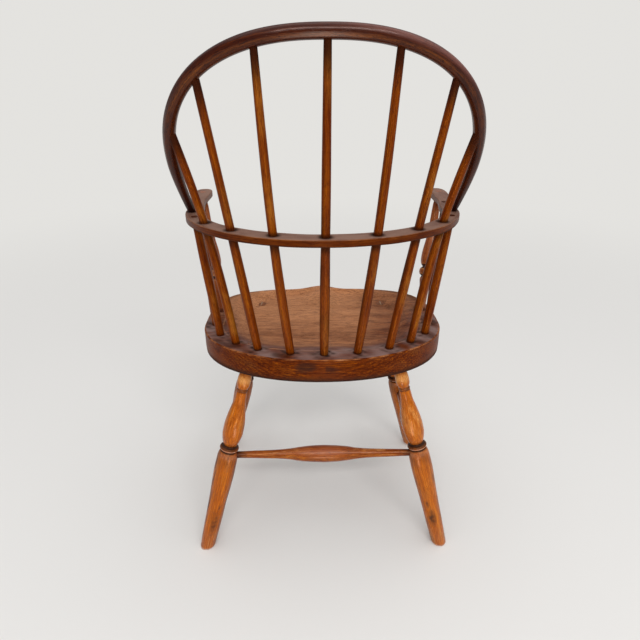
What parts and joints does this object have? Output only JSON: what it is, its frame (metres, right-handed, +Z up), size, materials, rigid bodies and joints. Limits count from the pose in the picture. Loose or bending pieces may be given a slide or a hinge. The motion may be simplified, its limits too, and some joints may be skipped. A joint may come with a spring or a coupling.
{
  "type": "windsor armchair",
  "caption": "Sack-back windsor armchair: dished plank seat, bent arm rail with paddles, bow back on shaved spindles, splayed turned legs joined by a box of stretchers.",
  "frame": {"origin": "centre of the bounding box's base, on the floor", "axes": "+Z up, -Y is the way the chair faces, +X towards the sitter's left hand"},
  "size_m": [0.529, 0.449, 0.9601],
  "materials": {
    "seat_wood": "old waxed plank, dusty brown, worn warmer in the middle",
    "rail_wood": "old waxed bent wood, red-brown",
    "bow_wood": "old waxed bent wood, dark red-brown",
    "spindle_wood": "shaved spindle, orange-brown, satin",
    "turned_wood": "turned maple, honey-orange, semi-gloss",
    "stretcher_wood": "turned maple, red-orange, semi-gloss",
    "wedge_wood": "pale end grain, matt"
  },
  "bodies": {
    "root": {"arm_post_left": "turned_wood", "arm_post_right": "turned_wood", "arm_rail": "rail_wood", "arm_spindle_left_front": "spindle_wood", "arm_spindle_left_rear": "spindle_wood", "arm_spindle_right_front": "spindle_wood", "arm_spindle_right_rear": "spindle_wood", "back_bow": "bow_wood", "back_spindle_1": "spindle_wood", "back_spindle_2": "spindle_wood", "back_spindle_3": "spindle_wood", "back_spindle_4": "spindle_wood", "back_spindle_5": "spindle_wood", "back_spindle_6": "spindle_wood", "back_spindle_7": "spindle_wood", "bow_wedge_left": "wedge_wood", "bow_wedge_right": "wedge_wood", "leg_front_left": "turned_wood", "leg_front_right": "turned_wood", "leg_rear_left": "turned_wood", "leg_rear_right": "turned_wood", "leg_wedge_front_left": "wedge_wood", "leg_wedge_front_right": "wedge_wood", "leg_wedge_rear_left": "wedge_wood", "leg_wedge_rear_right": "wedge_wood", "post_wedge_left": "wedge_wood", "post_wedge_right": "wedge_wood", "seat": "seat_wood", "stretcher_front": "stretcher_wood", "stretcher_left": "stretcher_wood", "stretcher_rear": "stretcher_wood", "stretcher_right": "stretcher_wood"}
  },
  "joints": []
}
